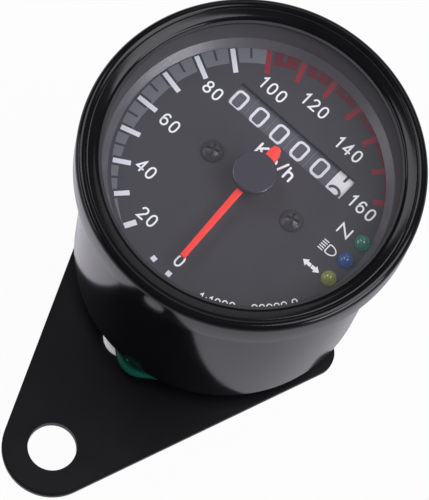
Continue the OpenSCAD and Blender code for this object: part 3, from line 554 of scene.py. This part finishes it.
GLYPHS = {
    "0": (0.70, [arc(0.35, 0.62, 0.27, 0.38, 0, 180) + arc(0.35, 0.38, 0.27, 0.38, 180, 360)
                 + [(0.62, 0.62)]]),
    "1": (0.55, [[(0.12, 0.78), (0.34, 1.0), (0.34, 0.0)]]),
    "2": (0.68, [arc(0.34, 0.74, 0.26, 0.26, 165, -30) + [(0.09, 0.03), (0.62, 0.03)]]),
    "3": (0.68, [arc(0.33, 0.76, 0.24, 0.24, 160, -90) + arc(0.33, 0.27, 0.27, 0.27, 90, -160)]),
    "4": (0.70, [[(0.48, 0.0), (0.48, 1.0), (0.06, 0.26), (0.66, 0.26)]]),
    "5": (0.68, [[(0.58, 1.0), (0.16, 1.0), (0.11, 0.52)] + arc(0.33, 0.31, 0.28, 0.31, 130, -155)]),
    "6": (0.70, [arc(0.36, 0.62, 0.27, 0.38, 50, 180) + arc(0.36, 0.30, 0.27, 0.30, 180, 540)]),
    "7": (0.66, [[(0.07, 1.0), (0.6, 1.0), (0.24, 0.0)]]),
    "8": (0.70, [arc(0.35, 0.76, 0.23, 0.24, -90, 270), arc(0.35, 0.26, 0.28, 0.26, 90, 450)]),
    "9": (0.70, [arc(0.34, 0.70, 0.27, 0.30, 0, 360) + arc(0.34, 0.38, 0.27, 0.38, 0, -130)]),
    "K": (0.70, [[(0.1, 0.0), (0.1, 1.0)], [(0.62, 1.0), (0.1, 0.42)], [(0.28, 0.62), (0.64, 0.0)]]),
    "m": (0.95, [[(0.09, 0.0), (0.09, 0.68)],
                 [(0.09, 0.45)] + arc(0.28, 0.48, 0.19, 0.2, 180, 0) + [(0.47, 0.0)],
                 [(0.47, 0.45)] + arc(0.66, 0.48, 0.19, 0.2, 180, 0) + [(0.85, 0.0)]]),
    "h": (0.66, [[(0.1, 0.0), (0.1, 1.0)],
                 [(0.1, 0.42)] + arc(0.33, 0.46, 0.23, 0.22, 180, 0) + [(0.56, 0.0)]]),
    "/": (0.5, [[(0.04, -0.1), (0.44, 1.08)]]),
    "N": (0.78, [[(0.1, 0.0), (0.1, 1.0), (0.66, 0.0), (0.66, 1.0)]]),
    ":": (0.3, [[(0.15, 0.12), (0.15, 0.2)], [(0.15, 0.56), (0.15, 0.64)]]),
    ".": (0.3, [[(0.15, 0.0), (0.15, 0.05)]]),
    "-": (0.5, [[(0.08, 0.42), (0.42, 0.42)]]),
    " ": (0.4, []),
    # a drum's 0, nearly square
    "sq0": (0.78, [arc(0.52, 0.75, 0.21, 0.25, 0, 90, 8) + arc(0.26, 0.75, 0.21, 0.25, 90, 180, 8)
                   + arc(0.26, 0.25, 0.21, 0.25, 180, 270, 8) + arc(0.52, 0.25, 0.21, 0.25, 270, 360, 8)
                   + [(0.73, 0.75)]]),
}


def resample(path, step=0.3):
    out = [path[0]]
    for a, b in zip(path[:-1], path[1:]):
        n = max(1, math.ceil(math.dist(a, b) / step))
        for k in range(1, n + 1):
            out.append((a[0] + (b[0] - a[0]) * k / n, a[1] + (b[1] - a[1]) * k / n))
    return [q for i, q in enumerate(out) if i == 0 or math.dist(q, out[i - 1]) > 1e-5]


def direction(a, b):
    d = math.dist(a, b) or 1.0
    return ((b[0] - a[0]) / d, (b[1] - a[1]) / d)


class Print:
    """Flat ink: strips and filled shapes on a plane or round a drum. Each stroke lies LIFT over the last,
    so that strokes that cross don't flicker."""
    LIFT = 0.0008

    def __init__(self):
        self.v, self.f, self.lift = [], [], 0.0

    def poly(self, pts, place):
        n = len(self.v)
        self.v += [place(x, y, self.lift) for x, y in pts]
        self.f.append(tuple(range(n, n + len(pts))))

    def stroke(self, path, w, place):
        """A line of width w along a path, with round ends where the path isn't closed."""
        p = resample(path)
        shut = math.dist(p[0], p[-1]) < 1e-3
        if shut:
            p = p[:-1]
        m = len(p)
        sides = ([], [])
        for i in range(m):
            a = p[i - 1] if (i > 0 or shut) else None
            c = p[(i + 1) % m] if (i < m - 1 or shut) else None
            d0 = direction(a, p[i]) if a else direction(p[i], c)
            d1 = direction(p[i], c) if c else d0
            tx, ty = direction((0, 0), (d0[0] + d1[0], d0[1] + d1[1]))
            # a sharp corner is cut off where its mitre would stand out too far
            k = w / 2 / max(0.45, tx * d1[0] + ty * d1[1])
            sides[0].append((p[i][0] - ty * k, p[i][1] + tx * k))
            sides[1].append((p[i][0] + ty * k, p[i][1] - tx * k))
        n = len(self.v)
        self.v += [place(x, y, self.lift) for x, y in sides[0] + sides[1]]
        for i in range(m if shut else m - 1):
            j = (i + 1) % m
            self.f.append((n + i, n + m + i, n + m + j, n + j))
        if not shut:
            for end, d in ((p[0], direction(p[1], p[0])), (p[-1], direction(p[-2], p[-1]))):
                a0 = math.atan2(d[1], d[0]) - math.pi / 2
                self.poly([(end[0] + w / 2 * math.cos(a0 + math.pi * k / 8),
                            end[1] + w / 2 * math.sin(a0 + math.pi * k / 8)) for k in range(9)], place)
        self.lift += self.LIFT

    def text(self, s, x, y, h, w, place, gap=0.12, stretch=1.0, turn=0.0):
        """Figures of height h and line width w about a point; stretch widens them, turn is in degrees."""
        glyphs = [GLYPHS[c] for c in s]
        cur = -(sum(g[0] for g in glyphs) + gap * (len(glyphs) - 1)) * h * stretch / 2
        ca, sa = math.cos(math.radians(turn)), math.sin(math.radians(turn))
        for gw, strokes in glyphs:
            for st in strokes:
                pts = []
                for px, py in st:
                    lx = cur + px * stretch * h
                    ly = (py - 0.5) * h
                    pts.append((x + lx * ca - ly * sa, y + lx * sa + ly * ca))
                self.stroke(pts, w, place)
            cur += (gw + gap) * h * stretch

    def round_text(self, s, r, mid_deg, h, w, place, gap=0.12, stretch=1.0):
        """Figures along a circle about the pointer's axis, their tops towards it."""
        cur = -(sum(GLYPHS[c][0] for c in s) + gap * (len(s) - 1)) * h * stretch / 2
        for c in s:
            a = math.radians(mid_deg) + (cur + GLYPHS[c][0] * h * stretch / 2) / r
            self.text(c, r * math.cos(a), r * math.sin(a), h, w, place, stretch=stretch,
                      turn=math.degrees(a) + 90)
            cur += (GLYPHS[c][0] + gap) * h * stretch

    def make(self, name, mat, slot, body="gauge"):
        mesh_piece(name, self.v, self.f, mat, body)


def on_dial(level):
    """Places a point given from the pointer's axis on the dial, level millimetres up."""
    return lambda x, y, lift: (x, ARM + y, DIAL_TOP + level + lift)


ON_BAND, ON_OUTLINE, ON_HALF_MARK = on_dial(0.012), on_dial(0.018), on_dial(0.024)
ON_BAR, ON_FIGURE = on_dial(0.03), on_dial(0.035)


# the scale, given in speeds and in reaches from the pointer's axis

def polar(deg, r):
    """A point at a clockwise angle from 12 o'clock, from the pointer's axis."""
    a = math.radians(deg)
    return (r * math.sin(a), r * math.cos(a))


def speed_deg(v):
    """Angle of a speed; the first two marks stand off the even scale."""
    return {0: -180.7, 10: -171.1}.get(v, -181.4 + 1.4704 * v)


RIM_R, RIM_OFF, RIM_OFF_DEG = 23.84, 1.85, -50
BAND_W, RED_BAND_W = 2.85, 2.8


def rim(v):
    """Reach of the scale's outer edge, a circle whose middle lies RIM_OFF off the pointer's axis."""
    a = math.radians(speed_deg(v) - RIM_OFF_DEG)
    return RIM_OFF * math.cos(a) + math.sqrt(RIM_R ** 2 - (RIM_OFF * math.sin(a)) ** 2)


def band_in(v):
    """Reach of the band's inner edge: the band widens up to 60 and narrows from 100 on."""
    if v <= 60:
        w = BAND_W * (v - 20) / 40
    elif v <= 100:
        w = BAND_W
    else:
        w = RED_BAND_W - 2.2 * (v - 100) / 55
    return rim(v) - w


def notch(v):
    """Reach of the notch that is cut into a red block from its outer side."""
    return rim(v) - 0.62 * (rim(v) - band_in(v))


def wedge(pr, v0, v1, outer, n):
    """Stretch of the band from one speed to another, out to outer."""
    steps = [v0 + (v1 - v0) * k / n for k in range(n + 1)]
    pr.poly([polar(speed_deg(v), band_in(v)) for v in steps]
            + [polar(speed_deg(v), outer(v)) for v in reversed(steps)], ON_BAND)


def bar(pr, v, r0, r1, w, place):
    """Bar of width w at a speed, from reach r0 to r1."""
    ux, uy = polar(speed_deg(v), 1.0)
    pr.poly([(ux * r + uy * side * w / 2, uy * r - ux * side * w / 2)
             for r, side in ((r0, -1), (r1, -1), (r1, 1), (r0, 1))], place)


BAR_IN = 21.03
ticks, outline, band, red, dark_red, ink = Print(), Print(), Print(), Print(), Print(), Print()
for v in range(20, 100, 10):
    wedge(band, v, v + 10, rim, 8)
    bar(ticks, v, BAR_IN, rim(v) - 0.15, 0.88 if v > 20 else 1.0, ON_BAR)
    if v > 20:
        bar(outline, v, BAR_IN + 1.7, rim(v), 1.75, ON_OUTLINE)
        bar(outline, v + 5, rim(v + 5) - 2.0, rim(v + 5) - 0.02, 0.42, ON_HALF_MARK)
for v in (0, 10):
    bar(ticks, v, 21.15, 22.1, 0.95, ON_BAR)
for v in range(100, 170, 10):
    bar(red, v, BAR_IN, rim(v) - 0.05, 0.95, ON_BAR)
    if v < 140:
        wedge(dark_red, v + 1.6, v + 4.1, rim, 4)
        wedge(dark_red, v + 4.1, v + 5.1, notch, 2)
        wedge(dark_red, v + 5.1, v + 8.6, rim, 4)
    elif v < 160:
        wedge(dark_red, v + 1.4, v + 8.8, rim, 6)

place = ON_FIGURE
for v, x, y in ((0, 0.07, -18.59), (20, -9.11, -16.56), (40, -15.1, -10.27), (60, -17.82, -1.22),
                (80, -16.5, 8.48), (100, -9.12, 15.96), (120, -1.88, 18.82), (140, 7.66, 16.78),
                (160, 16.32, 10.27)):
    ink.text(str(v), x, y, 2.14, 0.335, place, gap=0.26)
ink.text("Km/h", 0.03, 6.08, 2.15, 0.43, place, stretch=1.2)
ink.text("N", 16.92, 5.05, 1.84, 0.31, place, stretch=2.0)

# high-beam sign: five rays and a D
bx, by = 16.74, 0.63
ink.stroke([(bx, by - 0.7), (bx, by + 0.7), (bx + 0.12, by + 0.82)] + arc(bx + 0.45, by, 1.3, 0.86, 90, -90)
           + [(bx + 0.12, by - 0.82), (bx, by - 0.7)], 0.21, place)
for k in range(5):
    yy = by + 0.92 - 0.46 * k
    ink.stroke([(bx - 1.36, yy), (bx - 0.42, yy)], 0.19, place)

# turn-signal sign: two arrows, each a shaft and a head
ax, ay = 16.84, -3.76
for side in (-1, 1):
    for pts in ([(0.07, 0.33), (0.86, 0.33), (0.86, -0.33), (0.07, -0.33)],
                [(0.84, 0.72), (1.82, 0.0), (0.84, -0.72)]):
        ink.poly([(ax + side * x, ay + y) for x, y in pts], place)
        ink.lift += ink.LIFT

# plain figures along the lower edge
ink.round_text("1:1000 - 99999.9", 21.96, -50, 1.3, 0.22, place, stretch=1.2)

outline.make("scale_outline", "outline", "dial_grey")
band.make("scale_band", "band", "dial_grey")
dark_red.make("scale_red_band", "band_red", "pointer_red")
ticks.make("scale_bars", "tick", "drum_white")
red.make("scale_red_bars", "tick_red", "pointer_red")
ink.make("dial_figures", "ink", "drum_white")


# number drums: each has a face outside its solid, of radius FACE_R and from side to side 2 * HALF_W, and
# figures on it
FACE_R, FACE_IN_R, HALF_W, RING_FACETS = 7.66, 6.9, 2.26, 144
RIM_W, RIM_H, SEAM = 0.11, 0.03, 0.01
COLLAR_X = -1.68


def drum_mid(i):
    return ODO_X + (i - 2.5) * DRUM_PITCH


def on_drum(i, turn):
    """Wraps figures round drum i; turn is where the figure stands from the top, in degrees."""
    def place(x, y, lift):
        a = math.radians(turn) + y / FACE_R
        r = FACE_R + 0.02 + lift
        return (drum_mid(i) + x, ODO_Y + r * math.sin(a), ODO_Z + r * math.cos(a))
    return place


def drum_ring(name, i, x0, x1, r1, mat, body):
    """Ring round drum i, from x0 to x1 along its axis, out to radius r1."""
    verts = [(drum_mid(i) + x, ODO_Y + r * math.cos(2 * math.pi * k / RING_FACETS),
              ODO_Z + r * math.sin(2 * math.pi * k / RING_FACETS))
             for x, r in ((x0, FACE_IN_R), (x1, FACE_IN_R), (x1, r1), (x0, r1)) for k in range(RING_FACETS)]
    faces = [(RING_FACETS * a + k, RING_FACETS * a + (k + 1) % RING_FACETS,
              RING_FACETS * b + (k + 1) % RING_FACETS, RING_FACETS * b + k)
             for a, b in ((0, 1), (1, 2), (2, 3), (3, 0)) for k in range(RING_FACETS)]
    mesh_piece(name, verts, faces, mat, body)


for i, body in enumerate(("drum_a", "drum_b", "drum_c", "drum_d", "drum_e")):
    pr = Print()
    for n in range(10):
        pr.lift = 0.0
        pr.text([str(n) if n else "sq0"], 0.04 * i - 0.1, 0, 3.2, 0.5, on_drum(i, 0.7 * i - 3.0 - 36 * n))
    pr.make("drum_figures_%d" % (i + 1), "drum_ink", "drum_white", body)

    # the black face stands between two narrow rims of lighter grey, a painted highlight along the drum's
    # edges that also covers the dark gaps between the drums
    edge = HALF_W - RIM_W
    drum_ring("drum_face_%d" % (i + 1), i, SEAM - edge, edge - SEAM, FACE_R, "drum", body)
    for side, x0, x1 in (("a", -HALF_W, -edge), ("b", edge, HALF_W)):
        drum_ring("drum_highlight_rim_%d%s" % (i + 1, side), i, x0, x1, FACE_R + RIM_H, "drum_edge_painted_highlight",
                  body)

# the pale drum stands between two figures, with wide ones, and has a dark collar
pr = Print()
for n in range(10):
    pr.lift = 0.0
    pr.text(str(n), 0, 0, 2.95, 0.5, on_drum(5, 55.2 - 36 * n), stretch=1.0 if n == 1 else 1.4)
pr.make("drum_figures_6", "drum_dark_ink", "drum_black", "drum_t")
drum_ring("drum_collar", 5, -HALF_W, COLLAR_X, FACE_R, "drum", "drum_t")
drum_ring("drum_face_6", 5, COLLAR_X + 2 * SEAM, HALF_W, FACE_R, "drum_white", "drum_t")


# floor, sky and lamps

FLOOR_HALF = 30.0
me = bpy.data.meshes.new("floor")
me.from_pydata([(x * FLOOR_HALF, y * FLOOR_HALF, FLOOR_Z * MM)
                for x, y in ((-1, -1), (1, -1), (1, 1), (-1, 1))], [], [(0, 1, 2, 3)])
floor = bpy.data.objects.new("floor", me)
scene.collection.objects.link(floor)
fm, nt, b = new_mat("floor_pale")
b.inputs["Base Color"].default_value = (0.5, 0.5, 0.5, 1)
b.inputs["Roughness"].default_value = 0.9
b.inputs["Specular IOR Level"].default_value = 0.0


def add(nt, kind, **values):
    n = nt.nodes.new(kind)
    for k, v in values.items():
        n.inputs[k].default_value = v
    return n


def math_node(nt, op, a, b):
    n = nt.nodes.new("ShaderNodeMath")
    n.operation = op
    for i, v in enumerate((a, b)):
        if isinstance(v, (int, float)):
            n.inputs[i].default_value = v
        else:
            nt.links.new(v, n.inputs[i])
    return n.outputs[0]


# the floor shows white to the camera, with a trace of the shadow on it; in reflections part of it glows
# white as painted light, strongly to the left of the gauge and faintly to the right
lp = nt.nodes.new("ShaderNodeLightPath")
em = add(nt, "ShaderNodeEmission", Strength=1.0)
tone = add(nt, "ShaderNodeMixRGB", Color1=(0.985, 0.96, 1.06, 1), Color2=(1, 1, 1, 1))
nt.links.new(lp.outputs["Is Camera Ray"], tone.inputs["Fac"])
nt.links.new(tone.outputs["Color"], em.inputs["Color"])
floor_at = nt.nodes.new("ShaderNodeSeparateXYZ")
nt.links.new(nt.nodes.new("ShaderNodeTexCoord").outputs["Object"], floor_at.inputs["Vector"])
painted_light_left = add(nt, "ShaderNodeMapRange",
                **{"From Min": -0.03, "From Max": 0.035, "To Min": 0.62, "To Max": 0.12})
nt.links.new(floor_at.outputs["X"], painted_light_left.inputs["Value"])
mirrored = math_node(nt, "MAXIMUM", lp.outputs["Is Glossy Ray"], lp.outputs["Is Transmission Ray"])
mix = nt.nodes.new("ShaderNodeMixShader")
nt.links.new(math_node(nt, "MAXIMUM", math_node(nt, "MULTIPLY", lp.outputs["Is Camera Ray"], 0.96),
                       math_node(nt, "MULTIPLY", mirrored, painted_light_left.outputs["Result"])), mix.inputs["Fac"])
nt.links.new(b.outputs["BSDF"], mix.inputs[1])
nt.links.new(em.outputs["Emission"], mix.inputs[2])
nt.links.new(mix.outputs["Shader"], nt.nodes["Material Output"].inputs["Surface"])
me.materials.append(fm)

world = bpy.data.worlds.new("world")
scene.world = world
world.use_nodes = True
wn = world.node_tree
room = wn.nodes["Background"]
room.inputs["Color"].default_value = (1, 1, 1, 1)
room.inputs["Strength"].default_value = 0.1
pale = add(wn, "ShaderNodeBackground", Color=(1, 1, 1, 1), Strength=1.0)
wlp = wn.nodes.new("ShaderNodeLightPath")
wm = wn.nodes.new("ShaderNodeMixShader")
wn.links.new(math_node(wn, "MAXIMUM", wlp.outputs["Is Camera Ray"], wlp.outputs["Is Transmission Ray"]),
             wm.inputs["Fac"])
wn.links.new(room.outputs["Background"], wm.inputs[1])
wn.links.new(pale.outputs["Background"], wm.inputs[2])
wn.links.new(wm.outputs["Shader"], wn.nodes["World Output"].inputs["Surface"])


LAMP_AIM = mathutils.Vector((CX * MM, CY * MM, 0.045))
LAMP_FAR = 0.9
LAMP_COLOR = (0.99, 0.975, 1.04)


def softbox(name, towards, size_x, size_y, radiance):
    """A rectangular lamp that stands off the gauge in a direction; radiance 1 shows as white."""
    d = bpy.data.lights.new(name, "AREA")
    d.shape = "RECTANGLE"
    d.size, d.size_y = size_x, size_y
    d.energy = radiance * math.pi * size_x * size_y
    d.color = LAMP_COLOR
    o = bpy.data.objects.new(name, d)
    scene.collection.objects.link(o)
    v = mathutils.Vector(towards).normalized()
    o.location = LAMP_AIM + v * LAMP_FAR
    o.rotation_euler = (-v).to_track_quat("-Z", "Y").to_euler()


softbox("key_right", (0.45, 0.22, 0.86), 0.5, 0.62, 4.8)
softbox("side_left", (-0.55, 0.02, 0.83), 0.42, 0.42, 3.8)
softbox("low_right", (0.93, 0.03, 0.37), 0.56, 0.34, 7.6)
softbox("back", (-0.2, 0.7, 0.62), 0.85, 0.4, 1.05)
softbox("low_left", (-0.78, -0.52, 0.36), 0.6, 0.34, 2.6)
